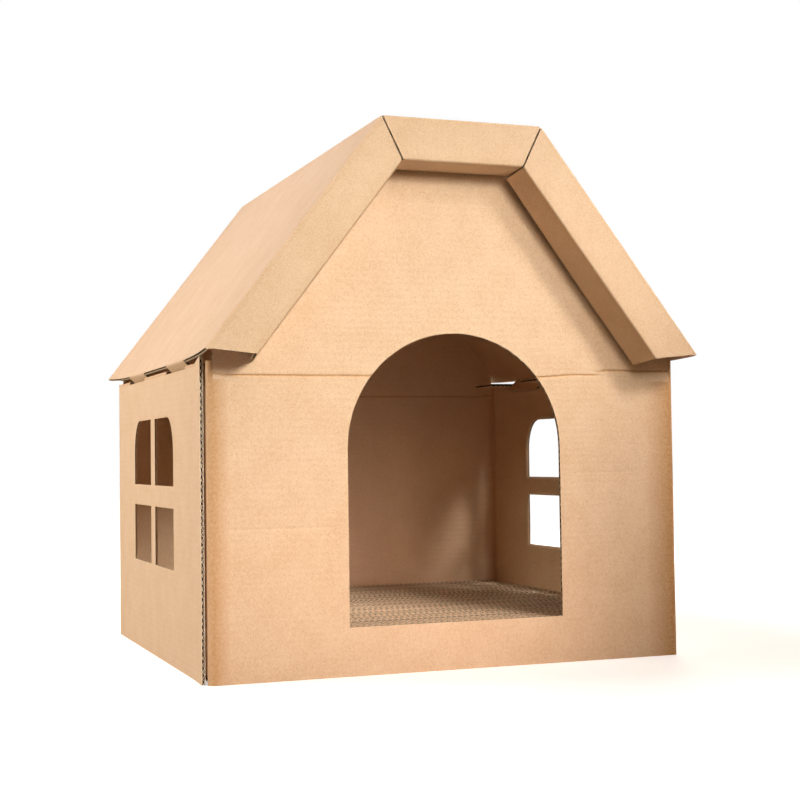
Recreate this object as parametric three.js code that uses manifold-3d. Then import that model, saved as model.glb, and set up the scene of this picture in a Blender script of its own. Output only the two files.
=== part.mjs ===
// A cat house folded from corrugated board: a wrap-round box with a doorway and two windows,
// a flat-topped roof sheet with boxed eaves that tucks into slots in the walls, and a loose
// scratching pad on the floor. Millimetres, +Z up, front towards -Y, origin on the ground
// under the middle of the house.

import * as THREE from 'three';
import { mergeVertices } from 'three/addons/utils/BufferGeometryUtils.js';
import Module from 'manifold-3d';

const wasm = await Module();
wasm.setup();

// The sheet: B-flute board, its folds and the play between panels
const board = 3;
const liner = 0.45;
const medium = 0.4;
const flutePitch = 5.6;
const creaseGap = 0.3;
const foldRadius = 5;

// The box
const bodyWidth = 442;
const bodyDepth = 404;
const sideHeight = 266;
const gableDrop = 12;
const rawEdgeSetback = 6.5;
const rawEdgeDepth = 12;
const glueTabWidth = 35;
const glueTabRise = 8;
const eaveFlapWidth = 36;
const eaveFlapInset = 28;
const innerFlapSpacing = 38;
const floorFlapRelief = 2;

// The doorway: the arch springs a little under the side walls' top
const doorWidth = 200;
const doorShift = 3.5;
const sillHeight = 41.5;
const springDrop = 74;

// The windows, each of four panes, hung from the side walls' top
const windowWidth = 188;
const windowShift = 14;
const windowDrop = 42;
const windowBar = 20;
const lowerPane = 55;
const upperPane = 63;
const shoulderReach = 27;
const shoulderDrop = 33;

// The roof sheet
const roofTop = 472;
const ridgeWidth = 148;
const eaveRise = 8;
const eaveOut = 5.5;
const eaveOverhang = 34;
const fasciaDepth = 37;
const fasciaEndDrop = 4.5;
const mitreGap = 1.2;
const soffitGap = 1;
const roofSeat = 0.4;

// The tabs along the eaves
const tabLength = 78;
const tabInset = 109;
const tabDepth = 22;
const tabFold = THREE.MathUtils.degToRad(82.5);
const slotPlay = 1;

// The scratching pad
const padPlay = 3;
const padBelowSill = 1;
const padBundles = 14;
const boardsInBundle = 7;
const padGrooveDepth = 1.2;
const padGrooveWidth = 0.8;

// How far every cut runs past the faces that it passes through
const overrun = 5;
const arcSteps = 6;
const archSteps = 36;

// Worked out from the sizes above
const halfWidth = bodyWidth / 2;
const halfDepth = bodyDepth / 2;
const halfRidge = ridgeWidth / 2;
const halfCrease = creaseGap / 2;
const innerWidth = halfWidth - board;
const innerDepth = halfDepth - board;
const foldShift = creaseGap / Math.SQRT2;
const leftFold = -(innerWidth - creaseGap);
const gableCrease = sideHeight - gableDrop;
const springHeight = sideHeight - springDrop;
const windowSill = sideHeight - windowDrop - upperPane - windowBar - lowerPane;
const eaveHeight = sideHeight + eaveRise;
const eaveReach = halfWidth + eaveOut;
const slopeRun = eaveReach - halfRidge;
const slopeRise = roofTop - eaveHeight;
const slopeAngle = Math.atan2(slopeRise, slopeRun);
const slopeLength = Math.hypot(slopeRun, slopeRise);
const ridgeMitre = Math.tan(slopeAngle / 2);
const eaveFront = halfDepth + eaveOverhang;

const kraft = new THREE.MeshStandardMaterial({ color: '#d8ad80', roughness: 0.88, metalness: 0 });
const kraftInner = new THREE.MeshStandardMaterial({ color: '#b98e62', roughness: 0.92, metalness: 0 });
const fluting = new THREE.MeshStandardMaterial({ color: '#c79b6b', roughness: 0.95, metalness: 0 });

// Where a sheet lies: each plane turns a flat drawing and its thickness into place
const planes = {
  floor: new THREE.Matrix4(),
  front: new THREE.Matrix4().makeBasis(
    new THREE.Vector3(1, 0, 0),
    new THREE.Vector3(0, 0, 1),
    new THREE.Vector3(0, -1, 0),
  ),
  side: new THREE.Matrix4().makeBasis(
    new THREE.Vector3(0, 1, 0),
    new THREE.Vector3(0, 0, 1),
    new THREE.Vector3(1, 0, 0),
  ),
};

function extrude(shape, depth, plane = 'floor', curveSegments = arcSteps) {
  const geometry = new THREE.ExtrudeGeometry(shape, { depth, bevelEnabled: false, curveSegments });
  return geometry.applyMatrix4(planes[plane]);
}

// A drawing in the front plane, from one depth to another
function acrossFront(shape, fromY, toY, curveSegments) {
  return extrude(shape, toY - fromY, 'front', curveSegments).translate(0, toY, 0);
}

// A drawing in the side plane, from one width to another
function acrossSide(shape, fromX, toX, curveSegments) {
  return extrude(shape, toX - fromX, 'side', curveSegments).translate(fromX, 0, 0);
}

function polygon(points) {
  return new THREE.Shape(points.map(([x, y]) => new THREE.Vector2(x, y)));
}

function rectangle(left, bottom, right, top) {
  return polygon([[left, bottom], [right, bottom], [right, top], [left, top]]);
}

function block([x0, y0, z0], [x1, y1, z1]) {
  const geometry = new THREE.BoxGeometry(x1 - x0, y1 - y0, z1 - z0);
  return geometry.translate((x0 + x1) / 2, (y0 + y1) / 2, (z0 + z1) / 2);
}

// A panel whose outer and inner faces are two outlines with as many corners, so that each
// edge can be mitred. The outlines are convex and run anticlockwise, seen from outside.
function mitredPanel(outer, inner) {
  const count = outer.length;
  const index = [];
  for (let i = 1; i < count - 1; i += 1) {
    index.push(0, i, i + 1);
    index.push(count, count + i + 1, count + i);
  }
  for (let i = 0; i < count; i += 1) {
    const next = (i + 1) % count;
    index.push(i, count + i, next);
    index.push(next, count + i, count + next);
  }
  const geometry = new THREE.BufferGeometry();
  geometry.setAttribute('position', new THREE.Float32BufferAttribute([...outer, ...inner].flat(), 3));
  geometry.setIndex(index);
  return geometry;
}

function toSolid(geometry) {
  const bare = geometry.clone();
  bare.deleteAttribute('normal');
  bare.deleteAttribute('uv');
  const merged = mergeVertices(bare, 1e-4);
  return new wasm.Manifold(new wasm.Mesh({
    numProp: 3,
    vertProperties: new Float32Array(merged.attributes.position.array),
    triVerts: new Uint32Array(merged.index.array),
  }));
}

function toGeometry(solid) {
  const mesh = solid.getMesh();
  const geometry = new THREE.BufferGeometry();
  geometry.setAttribute('position', new THREE.Float32BufferAttribute(mesh.vertProperties, 3));
  geometry.setIndex(new THREE.Uint32BufferAttribute(mesh.triVerts, 1));
  return geometry;
}

function cut(geometry, cutters) {
  let solid = toSolid(geometry);
  for (const cutter of cutters) {
    solid = solid.subtract(toSolid(cutter));
  }
  return toGeometry(solid);
}

function piece(name, geometry, material, parent) {
  const finished = geometry.index ? geometry.toNonIndexed() : geometry;
  finished.computeVertexNormals();
  const mesh = new THREE.Mesh(finished, material);
  mesh.name = name;
  parent.add(mesh);
  return mesh;
}

const catHouse = new THREE.Group();

// The doorway: a sill, straight jambs and a half-round arch that runs up into the gable
function doorway() {
  const shape = new THREE.Shape();
  const left = doorShift - doorWidth / 2;
  const right = doorShift + doorWidth / 2;
  shape.moveTo(left, sillHeight);
  shape.lineTo(right, sillHeight);
  shape.lineTo(right, springHeight);
  shape.absarc(doorShift, springHeight, doorWidth / 2, 0, Math.PI, false);
  shape.closePath();
  return acrossFront(shape, -(halfDepth + overrun), -(innerDepth - overrun), archSteps);
}

// The front and back panels, in plan: a flat sheet with a rounded fold at each end
function panelPlan(left, right) {
  const bend = foldRadius - halfDepth;
  const inside = foldRadius - board;
  const down = 1.5 * Math.PI;
  const shape = new THREE.Shape();
  shape.moveTo(left, bend);
  shape.absarc(left + foldRadius, bend, foldRadius, Math.PI, down, false);
  shape.absarc(right - foldRadius, bend, foldRadius, down, 2 * Math.PI, false);
  shape.lineTo(right - board, bend);
  shape.absarc(right - foldRadius, bend, inside, 2 * Math.PI, down, true);
  shape.absarc(left + foldRadius, bend, inside, down, Math.PI, true);
  shape.closePath();
  return shape;
}

// The panel stands as high as the side walls at its folds, and as high as the crease between
function endPanel(left, right, cutters) {
  const seat = block(
    [left + foldRadius, -(halfDepth + overrun), gableCrease],
    [right - foldRadius, -(innerDepth - overrun), sideHeight + overrun],
  );
  return cut(extrude(panelPlan(left, right), sideHeight), [seat, ...cutters]);
}

piece('front_wall', endPanel(leftFold, halfWidth, [doorway()]), kraft, catHouse);
piece('back_wall', endPanel(-halfWidth, halfWidth, []), kraft, catHouse).rotation.z = Math.PI;

// The gables fold inwards at their crease, and hold up the roof with their upper edges
function gable(left, right, cutters) {
  const under = board + roofSeat;
  const low = gableCrease + creaseGap;
  const top = roofTop - under;
  const topReach = halfRidge - under * ridgeMitre;
  const shoulder = (x) => top - (Math.abs(x) - topReach) * Math.tan(slopeAngle);
  const outline = polygon([
    [left, low],
    [right, low],
    [right, shoulder(right)],
    [topReach, top],
    [-topReach, top],
    [left, shoulder(left)],
  ]);
  return cut(acrossFront(outline, -halfDepth, -innerDepth), cutters);
}

const gableLeft = leftFold + foldRadius + creaseGap;
const gableRight = halfWidth - foldRadius - creaseGap;
piece('front_gable', gable(gableLeft, gableRight, [doorway()]), kraft, catHouse);
piece('back_gable', gable(-gableRight, gableRight, []), kraft, catHouse).rotation.z = Math.PI;

// One window pane. The upper ones have a rounded outer shoulder: outward is the side that it is on
function pane(outward, bottom, height, shouldered) {
  const inner = windowShift + outward * windowBar / 2;
  const outer = windowShift + outward * windowWidth / 2;
  const top = bottom + height;
  const shape = new THREE.Shape();
  shape.moveTo(inner, bottom);
  shape.lineTo(inner, top);
  if (shouldered) {
    const from = outward > 0 ? 0 : Math.PI;
    const across = outer - outward * shoulderReach;
    const up = top - shoulderDrop;
    shape.absellipse(across, up, shoulderReach, shoulderDrop, Math.PI / 2, from, outward > 0);
  } else {
    shape.lineTo(outer, top);
  }
  shape.lineTo(outer, bottom);
  shape.closePath();
  return shape;
}

function windowPanes(side) {
  const near = side > 0 ? innerWidth - overrun : -(halfWidth + overrun);
  const far = side > 0 ? halfWidth + overrun : -(innerWidth - overrun);
  const panes = [];
  for (const outward of [-1, 1]) {
    panes.push(pane(outward, windowSill, lowerPane, false));
    panes.push(pane(outward, windowSill + lowerPane + windowBar, upperPane, true));
  }
  return panes.map((shape) => acrossSide(shape, near, far, arcSteps + 2));
}

// The tab's tip swings about the ridge when a roof slope opens, so the wall's top is notched
// down to where the tip passes it
const tabDrop = Math.PI - tabFold - slopeAngle;
const tabTipX = eaveReach - tabDepth * Math.cos(tabDrop);
const tabTipZ = eaveHeight - tabDepth * Math.sin(tabDrop);
const tabTipSwing = Math.hypot(tabTipX - halfRidge, roofTop - tabTipZ);
const tabPass = roofTop - Math.sqrt(tabTipSwing ** 2 - (innerWidth - halfRidge) ** 2);
const slotFloor = Math.min(tabPass, sideHeight - board) - slotPlay;
const halfSlot = tabLength / 2 + slotPlay;
const tabPlaces = [tabInset - halfDepth, halfDepth - tabInset];

function tabNotches(side) {
  const outer = side * (halfWidth + overrun);
  const inner = side * (innerWidth - overrun);
  const low = Math.min(outer, inner);
  const high = Math.max(outer, inner);
  return tabPlaces.map((y) => block(
    [low, y - halfSlot, slotFloor],
    [high, y + halfSlot, sideHeight + overrun],
  ));
}

// The side walls, each with its window and the notches in its top fold
function sideWall(side, fromY, toY) {
  const profile = polygon([
    [side * halfWidth, 0],
    [side * halfWidth, sideHeight - foldShift],
    [side * innerWidth, sideHeight - board - foldShift],
    [side * innerWidth, 0],
  ]);
  return cut(acrossFront(profile, fromY, toY), [...windowPanes(side), ...tabNotches(side)]);
}

const foldEnd = halfDepth - foldRadius - creaseGap;
const rawEdge = rawEdgeSetback - halfDepth;
const wallStart = rawEdge + rawEdgeDepth + creaseGap;
piece('left_wall', sideWall(-1, wallStart, foldEnd), kraft, catHouse);
piece('right_wall', sideWall(1, -foldEnd, foldEnd), kraft, catHouse);

// The left wall's front edge is cut across the flutes and left raw, so it shows the two
// liners with the fluted medium between them. Each pocket of air is open at both ends.
function flutedEdge() {
  const depth = board - 2 * liner - medium;
  const middle = board / 2;
  const rim = middle - liner;
  const share = (z) => (1 + Math.cos(2 * Math.PI * z)) / 2;
  const pocketShares = [-0.42, 0.42, 0.25, 0.1, -0.1, -0.25];
  const shape = rectangle(-halfWidth, 0, -innerWidth, sideHeight - board - foldShift);
  const flutes = Math.floor((sideHeight - board) / flutePitch) - 1;
  for (let flute = 0; flute < flutes * 2; flute += 1) {
    const facing = flute % 2 ? 1 : -1;
    const centre = (flute / 2 + 1) * flutePitch;
    const points = pocketShares.map((at, corner) => {
      const reach = corner < 2 ? 0 : depth * share(at);
      return new THREE.Vector2(middle - halfWidth + facing * (rim - reach), centre + at * flutePitch);
    });
    shape.holes.push(new THREE.Path(points));
  }
  return acrossFront(shape, rawEdge, rawEdge + rawEdgeDepth);
}

piece('left_wall_raw_edge', flutedEdge(), fluting, catHouse);

// The front panel ends in a tab that is glued inside the left wall
piece('glue_tab', block(
  [leftFold, -foldEnd, glueTabRise],
  [leftFold + board, glueTabWidth - foldEnd, gableCrease - glueTabRise],
), kraftInner, catHouse);

// The top of each side wall folds inwards in three flaps, which stiffen the eave. A tab of the
// roof goes down in each gap between them.
function eaveFlap(side, fromY, toY) {
  const profile = polygon([
    [side * (halfWidth - foldShift), sideHeight],
    [side * (halfWidth - eaveFlapWidth), sideHeight],
    [side * (halfWidth - eaveFlapWidth), sideHeight - board],
    [side * (innerWidth - foldShift), sideHeight - board],
  ]);
  return acrossFront(profile, fromY, toY);
}

const flapEnd = halfDepth - eaveFlapInset;
const [frontTab, backTab] = tabPlaces;
const flapRuns = {
  front: [-flapEnd, frontTab - halfSlot],
  middle: [frontTab + halfSlot, backTab - halfSlot],
  back: [backTab + halfSlot, flapEnd],
};

for (const [name, side] of [['left', -1], ['right', 1]]) {
  for (const [place, [fromY, toY]] of Object.entries(flapRuns)) {
    piece(`${name}_eave_flap_${place}`, eaveFlap(side, fromY, toY), kraft, catHouse);
  }
}

// The floor: the front and back flaps meet on the ground, and the side flaps lie on them
const floorFlapEnd = -leftFold - foldRadius - creaseGap;
const floorFlapStart = innerDepth - creaseGap;
const innerFlapLow = board + creaseGap;
const innerFlapTop = innerFlapLow + board;
const innerFlapStart = innerWidth - creaseGap;
const innerFlapReach = innerFlapSpacing / 2;

piece('front_floor_flap', block(
  [-floorFlapEnd, -floorFlapStart, 0],
  [floorFlapEnd, -halfCrease, board],
), kraft, catHouse);
piece('back_floor_flap', block(
  [-floorFlapEnd, halfCrease, 0],
  [floorFlapEnd, floorFlapStart, board],
), kraft, catHouse);

function innerFloorFlap(side) {
  const outer = side * innerFlapStart;
  const inner = side * innerFlapReach;
  const end = halfDepth - foldRadius - floorFlapRelief;
  return block(
    [Math.min(outer, inner), -end, innerFlapLow],
    [Math.max(outer, inner), end, innerFlapTop],
  );
}

piece('left_floor_flap', innerFloorFlap(-1), kraftInner, catHouse);
piece('right_floor_flap', innerFloorFlap(1), kraftInner, catHouse);

// The roof is one sheet in three faces. Each face is drawn lying flat: x runs from one ridge
// crease towards the next or down to the eave, y along the ridge, z out of the sheet, and
// `deep` is the depth under its outer side.
const fasciaFoot = (roofTop - (eaveHeight - fasciaEndDrop) - fasciaDepth * Math.cos(slopeAngle))
  / Math.sin(slopeAngle);
const ridgeEnd = (deep, gap) => deep * ridgeMitre + gap / 2 / Math.cos(slopeAngle / 2);

// A face between two ridge creases ends in a mitre at both ends, a slope in a square cut at
// its eave, with its fascia's end cut to a slant
function faceEnds(length, isSlope) {
  return {
    length,
    start: ridgeEnd,
    panelEnd: (deep) => (isSlope ? length : length - ridgeEnd(deep, creaseGap)),
    fasciaEnd: (deep) => (isSlope
      ? length - (length - fasciaFoot) * deep / fasciaDepth
      : length - ridgeEnd(deep, mitreGap)),
  };
}

function roofPanel({ start, panelEnd }) {
  const edge = eaveFront - foldShift;
  const innerEdge = eaveFront - board - foldShift;
  const outer = [
    [start(0, creaseGap), -edge, 0],
    [panelEnd(0), -edge, 0],
    [panelEnd(0), edge, 0],
    [start(0, creaseGap), edge, 0],
  ];
  const inner = [
    [start(board, creaseGap), -innerEdge, -board],
    [panelEnd(board), -innerEdge, -board],
    [panelEnd(board), innerEdge, -board],
    [start(board, creaseGap), innerEdge, -board],
  ];
  return mitredPanel(outer, inner);
}

// The fascia hangs from the front fold, and the soffit runs back from its foot to the gable.
// The soffit's ends are cut square through the board, so that a boxed eave can turn up past
// the one beside it.
function roofFascia({ start, fasciaEnd }) {
  const face = (y, top, foot) => [
    [start(foot, mitreGap), y, -foot],
    [fasciaEnd(foot), y, -foot],
    [fasciaEnd(top), y, -top],
    [start(top, mitreGap), y, -top],
  ];
  return mitredPanel(
    face(-eaveFront, foldShift, fasciaDepth - foldShift),
    face(board - eaveFront, board + foldShift, fasciaDepth - board - foldShift),
  );
}

function roofSoffit({ start, fasciaEnd }) {
  const near = start(fasciaDepth, mitreGap);
  const far = fasciaEnd(fasciaDepth);
  const back = -(halfDepth + soffitGap);
  const face = (deep, front) => [
    [near, front, -deep],
    [near, back, -deep],
    [far, back, -deep],
    [far, front, -deep],
  ];
  return mitredPanel(
    face(fasciaDepth, foldShift - eaveFront),
    face(fasciaDepth - board, board + foldShift - eaveFront),
  );
}

// The back eave is the front one mirrored across the ridge's middle, with its faces turned
// round again so that they still look outwards
function mirrored(geometry) {
  const flipped = geometry.clone().scale(1, -1, 1);
  flipped.setIndex([...flipped.index.array].reverse());
  return flipped;
}

// The tabs fold down from the eave. The panel is mitred for them, and cut square elsewhere.
const tabMitre = Math.tan(tabFold / 2);

function tabRelief(y) {
  const deep = board + overrun;
  const wedge = polygon([
    [slopeLength - foldShift + overrun * tabMitre, overrun],
    [slopeLength - foldShift - deep * tabMitre, -deep],
    [slopeLength + overrun * tabMitre + overrun, -deep],
    [slopeLength + overrun * tabMitre + overrun, overrun],
  ]);
  const half = tabLength / 2;
  return acrossFront(wedge, y - half, y + half);
}

function eaveTab(y) {
  const along = new THREE.Vector2(Math.cos(tabFold), -Math.sin(tabFold));
  const across = new THREE.Vector2(-Math.sin(tabFold), -Math.cos(tabFold));
  const corner = new THREE.Vector2(slopeLength, 0);
  const at = (run, deep) => corner.clone().addScaledVector(along, run).addScaledVector(across, deep);
  const profile = polygon([
    at(foldShift, 0),
    at(foldShift + board * tabMitre, board),
    at(tabDepth, board),
    at(tabDepth, 0),
  ].map((point) => point.toArray()));
  const half = tabLength / 2 - creaseGap;
  return acrossFront(profile, y - half, y + half);
}

function roofFace(name, ends, ahead, behind) {
  const face = new THREE.Group();
  const panel = roofPanel(ends);
  const isSlope = name !== 'roof_top';
  piece(name, isSlope ? cut(panel, tabPlaces.map(tabRelief)) : panel, kraft, face);
  const part = name.replace('_slope', '').replace('roof_', '');
  const fascia = roofFascia(ends);
  const soffit = roofSoffit(ends);
  piece(`${part}_${ahead}_fascia`, fascia, kraft, face);
  piece(`${part}_${behind}_fascia`, mirrored(fascia), kraft, face);
  piece(`${part}_${ahead}_soffit`, soffit, kraft, face);
  piece(`${part}_${behind}_soffit`, mirrored(soffit), kraft, face);
  if (isSlope) {
    piece(`${part}_${ahead}_tab`, eaveTab(tabPlaces[0]), kraft, face);
    piece(`${part}_${behind}_tab`, eaveTab(tabPlaces[1]), kraft, face);
  }
  catHouse.add(face);
  return face;
}

const slopeEnds = faceEnds(slopeLength, true);
const topFace = roofFace('roof_top', faceEnds(ridgeWidth, false), 'front', 'back');
topFace.position.set(-halfRidge, 0, roofTop);

const rightFace = roofFace('right_slope', slopeEnds, 'front', 'back');
rightFace.position.set(halfRidge, 0, roofTop);
rightFace.rotation.y = slopeAngle;

const leftFace = roofFace('left_slope', slopeEnds, 'back', 'front');
leftFace.position.set(-halfRidge, 0, roofTop);
leftFace.rotation.set(0, -slopeAngle, Math.PI);

// The scratching pad: strips of board stood on edge and glued up in bundles, with a band
// round them all. It lies loose on the floor flaps, its top just under the door sill.
const padLow = innerFlapTop + creaseGap;
const padTop = sillHeight - padBelowSill;
const padHalfWidth = -leftFold - board - padPlay;
const padHalfDepth = innerDepth - padPlay;
const bandInnerWidth = padHalfWidth - board;
const bandInnerDepth = padHalfDepth - board;

const band = rectangle(-padHalfWidth, -padHalfDepth, padHalfWidth, padHalfDepth);
band.holes.push(rectangle(-bandInnerWidth, -bandInnerDepth, bandInnerWidth, bandInnerDepth));
piece('pad_band', extrude(band, padTop - padLow).translate(0, 0, padLow), kraft, catHouse);

// A bundle in section: one tooth for each strip, with a groove between neighbours
const bundleReach = bandInnerWidth - creaseGap;
const bundlePitch = 2 * bandInnerDepth / padBundles;
const bundleWidth = bundlePitch - creaseGap;
const stripWidth = bundleWidth / boardsInBundle;

function padBundle(fromY) {
  const points = [[fromY, padLow], [fromY + bundleWidth, padLow], [fromY + bundleWidth, padTop]];
  for (let strip = boardsInBundle - 1; strip > 0; strip -= 1) {
    const groove = fromY + strip * stripWidth;
    points.push([groove + padGrooveWidth / 2, padTop]);
    points.push([groove, padTop - padGrooveDepth]);
    points.push([groove - padGrooveWidth / 2, padTop]);
  }
  points.push([fromY, padTop]);
  return acrossSide(polygon(points), -bundleReach, bundleReach);
}

for (let bundle = 0; bundle < padBundles; bundle += 1) {
  const fromY = bundle * bundlePitch + halfCrease - bandInnerDepth;
  const number = String(bundle + 1).padStart(2, '0');
  piece(`pad_bundle_${number}`, padBundle(fromY), fluting, catHouse);
}

export default catHouse;
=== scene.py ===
"""A cat house folded from brown corrugated board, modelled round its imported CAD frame."""

import math
import random

import bpy
from mathutils import Matrix, Vector


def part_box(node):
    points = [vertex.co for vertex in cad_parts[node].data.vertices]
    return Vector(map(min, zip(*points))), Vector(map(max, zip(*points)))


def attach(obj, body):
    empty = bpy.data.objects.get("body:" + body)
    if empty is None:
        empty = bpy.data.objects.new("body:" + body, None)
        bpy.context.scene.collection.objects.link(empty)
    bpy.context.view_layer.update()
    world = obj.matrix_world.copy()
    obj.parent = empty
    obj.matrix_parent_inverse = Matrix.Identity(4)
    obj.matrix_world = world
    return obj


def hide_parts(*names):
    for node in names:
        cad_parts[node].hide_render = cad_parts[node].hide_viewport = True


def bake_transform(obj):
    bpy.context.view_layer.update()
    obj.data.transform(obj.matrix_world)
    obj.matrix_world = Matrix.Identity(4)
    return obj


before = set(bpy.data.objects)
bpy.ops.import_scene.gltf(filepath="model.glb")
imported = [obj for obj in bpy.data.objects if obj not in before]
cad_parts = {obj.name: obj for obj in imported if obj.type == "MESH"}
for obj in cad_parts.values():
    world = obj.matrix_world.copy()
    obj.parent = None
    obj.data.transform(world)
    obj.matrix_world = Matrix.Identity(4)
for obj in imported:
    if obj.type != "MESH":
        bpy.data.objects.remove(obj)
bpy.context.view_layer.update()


# The camera stands to the left of the doorway, lower than the eaves, and looks up a little.
# All sizes are written in millimetres, and MM turns them to metres.
MM = 0.001
CAMERA_TARGET = Vector((-48.6, -202.0, 233.7)) * MM
CAMERA_DISTANCE = 1268.0 * MM
CAMERA_AZIMUTH = math.radians(-20.48)
CAMERA_ELEVATION = math.radians(-2.23)
CAMERA_ROLL = math.radians(-0.77)
LENS_MM = 66.33

level = math.cos(CAMERA_ELEVATION)
backwards = Vector((
    math.sin(CAMERA_AZIMUTH) * level,
    -math.cos(CAMERA_AZIMUTH) * level,
    math.sin(CAMERA_ELEVATION),
))
sideways = Vector((0, 0, 1)).cross(backwards).normalized()
upwards = backwards.cross(sideways)
turned = Matrix((sideways, upwards, backwards)).transposed() @ Matrix.Rotation(CAMERA_ROLL, 3, "Z")
bpy.ops.object.camera_add(location=CAMERA_TARGET + backwards * CAMERA_DISTANCE)
camera = bpy.context.object
camera.name = "photo_camera"
camera.rotation_euler = turned.to_euler()
camera.data.sensor_width = 36
camera.data.lens = LENS_MM
camera.data.clip_start = 0.02
bpy.context.scene.camera = camera
bpy.context.scene.view_settings.view_transform = "Standard"


# The studio: a white floor that runs out of sight, a white surround, and soft boxes round the
# house. The floor keeps the house's shadow, and glows white further off, where no lamp reaches.
FLOOR_WHITE = "#f4f2ef"
FLOOR_BOUNCE = "#868482"
FLOOR_SIZE = 12
GLOW_BEGINS, GLOW_FULL = 0.3, 0.9
GLOW_NEAR_THE_HOUSE = 0.55
SURROUND_WARMTH = "#ffdaa0"
AMBIENT = 0.13


def linear(hex_colour):
    """An sRGB hex colour as the linear RGBA that a shader socket takes."""
    channels = [int(hex_colour[i:i + 2], 16) / 255 for i in (1, 3, 5)]
    return tuple(c / 12.92 if c <= 0.04045 else ((c + 0.055) / 1.055) ** 2.4 for c in channels) + (1,)


def add_node(tree, kind, settings=None, links=None):
    """One shader node. Settings and links are for its sockets, by name or number, or its own options."""
    made = tree.nodes.new(kind)
    for name, value in (settings or {}).items():
        if isinstance(name, int) or name in made.inputs:
            made.inputs[name].default_value = value
        else:
            setattr(made, name, value)
    for name, socket in (links or {}).items():
        tree.links.new(socket, made.inputs[name])
    return made


def bare_material(name):
    made = bpy.data.materials.new(name)
    made.use_nodes = True
    made.node_tree.nodes.clear()
    return made, made.node_tree


bpy.ops.object.select_all(action="DESELECT")
bpy.ops.mesh.primitive_plane_add(size=FLOOR_SIZE)
floor = bpy.context.object
floor.name = "studio_floor"

painted_floor, tree = bare_material("white_painted_floor")
place = add_node(tree, "ShaderNodeTexCoord").outputs["Object"]
reach = add_node(tree, "ShaderNodeVectorMath", {"operation": "LENGTH"}, {0: place})
far_off = add_node(tree, "ShaderNodeMapRange", {
    "From Min": GLOW_BEGINS,
    "From Max": GLOW_FULL,
    "To Min": GLOW_NEAR_THE_HOUSE,
    "To Max": 1.0,
    "interpolation_type": "SMOOTHSTEP",
}, {"Value": reach.outputs["Value"]})
paint = add_node(tree, "ShaderNodeBsdfDiffuse", {"Color": linear(FLOOR_WHITE)})
rays = add_node(tree, "ShaderNodeLightPath")
seen = add_node(tree, "ShaderNodeMath", {"operation": "MAXIMUM"}, {
    0: rays.outputs["Is Camera Ray"],
    1: rays.outputs["Is Glossy Ray"],
})
seen = add_node(tree, "ShaderNodeMath", {"operation": "MAXIMUM"}, {
    0: seen.outputs["Value"],
    1: rays.outputs["Is Transmission Ray"],
})
strength = add_node(tree, "ShaderNodeMath", {"operation": "MULTIPLY"}, {
    0: far_off.outputs["Result"],
    1: seen.outputs["Value"],
})
glow = add_node(tree, "ShaderNodeEmission", {"Color": (1, 1, 1, 1)}, {"Strength": strength.outputs["Value"]})
lit = add_node(tree, "ShaderNodeAddShader", None, {0: paint.outputs["BSDF"], 1: glow.outputs["Emission"]})
bounce = add_node(tree, "ShaderNodeBsdfDiffuse", {"Color": linear(FLOOR_BOUNCE)})
either = add_node(tree, "ShaderNodeMixShader", None, {
    0: seen.outputs["Value"],
    1: bounce.outputs["BSDF"],
    2: lit.outputs["Shader"],
})
add_node(tree, "ShaderNodeOutputMaterial", None, {"Surface": either.outputs["Shader"]})
floor.data.materials.append(painted_floor)

surround = bpy.data.worlds.new("white_surround")
surround.use_nodes = True
tree = surround.node_tree
tree.nodes.clear()
rays = add_node(tree, "ShaderNodeLightPath")
shown = add_node(tree, "ShaderNodeMath", {"operation": "MAXIMUM"}, {
    0: rays.outputs["Is Camera Ray"],
    1: rays.outputs["Is Glossy Ray"],
})
shown = add_node(tree, "ShaderNodeMath", {"operation": "MAXIMUM"}, {
    0: shown.outputs["Value"],
    1: rays.outputs["Is Transmission Ray"],
})
soft_light = add_node(tree, "ShaderNodeBackground", {"Color": linear(SURROUND_WARMTH), "Strength": AMBIENT})
white = add_node(tree, "ShaderNodeBackground", {"Color": (1, 1, 1, 1), "Strength": 1.0})
chosen = add_node(tree, "ShaderNodeMixShader", None, {
    0: shown.outputs["Value"],
    1: soft_light.outputs["Background"],
    2: white.outputs["Background"],
})
add_node(tree, "ShaderNodeOutputWorld", None, {"Surface": chosen.outputs["Shader"]})
bpy.context.scene.world = surround

# Each soft box: where it stands, its width, its power in watts, the colour of its light, how far
# its grid lets the light spread in degrees, and the point of the house that it is turned to.
SOFT_BOXES = {
    "front_soft_box": ((0.3, -1.33, 0.77), 0.3, 0.85, "#fffcf4", 42, (-0.15, -0.2, 0.3)),
    "right_wall_soft_box": ((0.7, -1.2, 0.3), 0.3, 0.02, "#ffb560", 26, (0.18, -0.2, 0.14)),
    "doorway_soft_box": ((0.05, -1.4, 1.0), 0.6, 0.38, "#ffe2d6", 120, (0, -0.2, 0.3)),
    "left_corner_soft_box": ((-0.22, -0.9, 0.06), 0.3, 0.15, "#ffe2d6", 36, (-0.16, -0.2, 0.02)),
    "sill_soft_box": ((0.04, -0.9, 0.04), 0.15, 0.045, "#ffe2d6", 26, (0.04, -0.2, 0.0)),
    "right_eave_soft_box": ((0.65, -1.1, 1.1), 0.3, 0.27, "#fff8f4", 24, (0.19, -0.22, 0.34)),
    "left_soft_box": ((-1.6, 0.15, 0.6), 0.6, 12.9, "#fff3de", 180, (-0.2, 0, 0.15)),
    "left_roof_soft_box": ((-0.9, 0.2, 1.5), 0.6, 1.4, "#dfe3ff", 60, (-0.15, 0, 0.38)),
    "back_soft_box": ((1.0, 1.4, 1.1), 0.8, 22.0, "#fff8ee", 180, (0, 0, 0.25)),
}
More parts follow.
